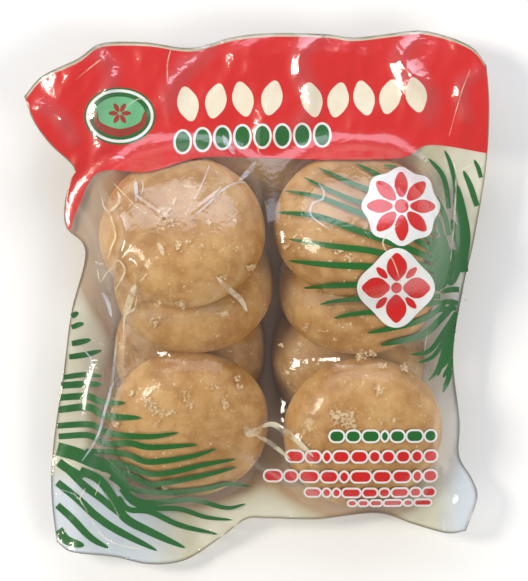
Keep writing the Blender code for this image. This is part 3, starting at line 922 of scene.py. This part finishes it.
# Painted reflections of the window along ridges of the film, bluish white.
WINDOW_REFLECTION_LINES = [
    (0.9, [(-44.5, 43.5), (-44, 39), (-44, 35)]),
    (0.3, [(-42, 43.5), (-41.5, 40), (-43, 36.5)]),
    (1.4, [(0, 50.5), (-3, 46.5), (-6.5, 43)]),
    (0.6, [(-3.5, 42.5), (-8, 42), (-13, 39), (-17.5, 34.5), (-21.5, 31), (-24.5, 29)]),
    (0.35, [(-16.5, 51), (-20, 41.5), (-24.5, 33), (-26, 30)]),
    (1.4, [(-12.5, 60), (-10.5, 56), (-8, 53)]),
    (0.8, [(-51.5, -14), (-52.5, -23), (-53.5, -32.5), (-56, -41.5), (-58, -49), (-61, -55),
          (-65.5, -61.5)]),
    (1.1, [(-57, 2), (-55, -1), (-53.5, -7)]),
    (0.5, [(22.5, 42.5), (24.5, 39), (24, 36), (20.5, 34.5), (20, 30), (26.5, 25)]),
    (0.6, [(-58.5, -17), (-56, -17.5)]),
    (0.5, [(-53.5, 51.5), (-51.5, 52), (-48.5, 51.5)]),
    (0.5, [(-64, -19.5), (-61.5, -22.5), (-61.5, -26.5)]),
    (0.3, [(-73, -71), (-67, -73.5), (-62.5, -79.5)]),
]


def crease_line(half, points):
    """A stroke closed to a point at both of its ends."""
    x, y = stroke(points, 0.7 * half, root=1.0)
    middle_x, middle_y = x[2], y[2]
    close = np.sqrt(np.clip(np.linspace(0, 3, x.shape[1]), 0.02, 1))
    return middle_x + (x - middle_x) * close, middle_y + (y - middle_y) * close


# Painted highlights along the creases, cream, which also stand for the folds' whitening.
print_many("cream_crease_highlights", [crease_line(*row) for row in CREAM_HIGHLIGHT_LINES], -0.05,
           fold_highlight_finish("cream_fold_highlight", (1.0, 0.94, 0.70, 1), 0.42))
# Painted reflections of the window, bluish white.
print_many("painted_window_glints", [crease_line(*row) for row in WINDOW_REFLECTION_LINES], -0.05,
           fold_highlight_finish("painted_window_glint", (0.84, 0.90, 1.0, 1), 0.38))

# ---- Floor, light and camera ----------------------------------------------------------------------
# A plain pale surface, a cool window low beyond the top of the pack, a warm lamp and a soft fill.

box_low, box_high = (np.array(corner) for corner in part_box("sealed_bag"))


def floor_finish():
    """Plain pale matt surface."""
    n = Nodes("floor_paint")
    where = n.add("TexCoord").outputs["Object"]
    cloudy = n.add("TexNoise", {"Vector": where, "Scale": 3.0}).outputs[0]
    n.feed("Base Color", n.mix(cloudy, (0.96, 0.96, 0.955, 1), (0.97, 0.97, 0.965, 1)))
    n.shader.inputs["Roughness"].default_value = 0.8
    return n.material


FLOOR_LEVEL = -0.4       # just under the pouch, in millimetres
side = np.linspace(-3000.0, 3000.0, 9)
floor_x, floor_y = np.meshgrid(side, side)
floor_z = np.full(floor_x.shape, FLOOR_LEVEL)
floor = mesh_of("floor", np.stack([floor_x, floor_y, floor_z], axis=-1), sheet_faces(9, 9))
floor.data.materials.append(floor_finish())


def soft_lamp(name, place, aim, size, power, colour, mirrored=True):
    """A rectangular area light at a place, turned to its aim, all in metres, which shiny film may mirror."""
    from mathutils import Vector
    light = bpy.data.lights.new(name, "AREA")
    light.shape = "RECTANGLE"
    light.size, light.size_y = size
    light.energy = power
    light.color = colour
    made = bpy.data.objects.new(name, light)
    made.location = place
    made.rotation_euler = (Vector(aim) - Vector(place)).to_track_quat("-Z", "Y").to_euler()
    made.visible_glossy = mirrored
    bpy.context.scene.collection.objects.link(made)


soft_lamp("window", (0.0, 1.6, 0.9), (0.0, 0.0, 0.0), (2.6, 0.9), 20.0, (0.80, 0.84, 1.0))
soft_lamp("left_lamp", (-1.3, 0.3, 1.25), (0.0, 0.0, 0.0), (0.5, 0.5), 18.0, (1.0, 0.93, 0.80))
soft_lamp("right_fill", (1.3, -0.7, 1.2), (0.0, 0.0, 0.0), (1.0, 1.0), 15.0, (1.0, 0.95, 0.86),
          mirrored=False)

world = bpy.data.worlds.new("room")
bpy.context.scene.world = world
world.use_nodes = True
world.node_tree.nodes["Background"].inputs["Color"].default_value = (0.92, 0.95, 1.0, 1)
world.node_tree.nodes["Background"].inputs["Strength"].default_value = 0.38

CAMERA_HEIGHT = 2.02
FRAME_HEIGHT = 0.215     # height of the view at the welded web
WEB_LEVEL = 0.016
camera_data = bpy.data.cameras.new("camera")
camera_data.sensor_width = 36.0
camera_data.lens = 36.0 * (CAMERA_HEIGHT - WEB_LEVEL) / FRAME_HEIGHT
camera = bpy.data.objects.new("camera", camera_data)
camera.location = (0.0027, 0.0027, CAMERA_HEIGHT)
bpy.context.scene.collection.objects.link(camera)
bpy.context.scene.camera = camera
bpy.context.scene.view_settings.view_transform = "Standard"
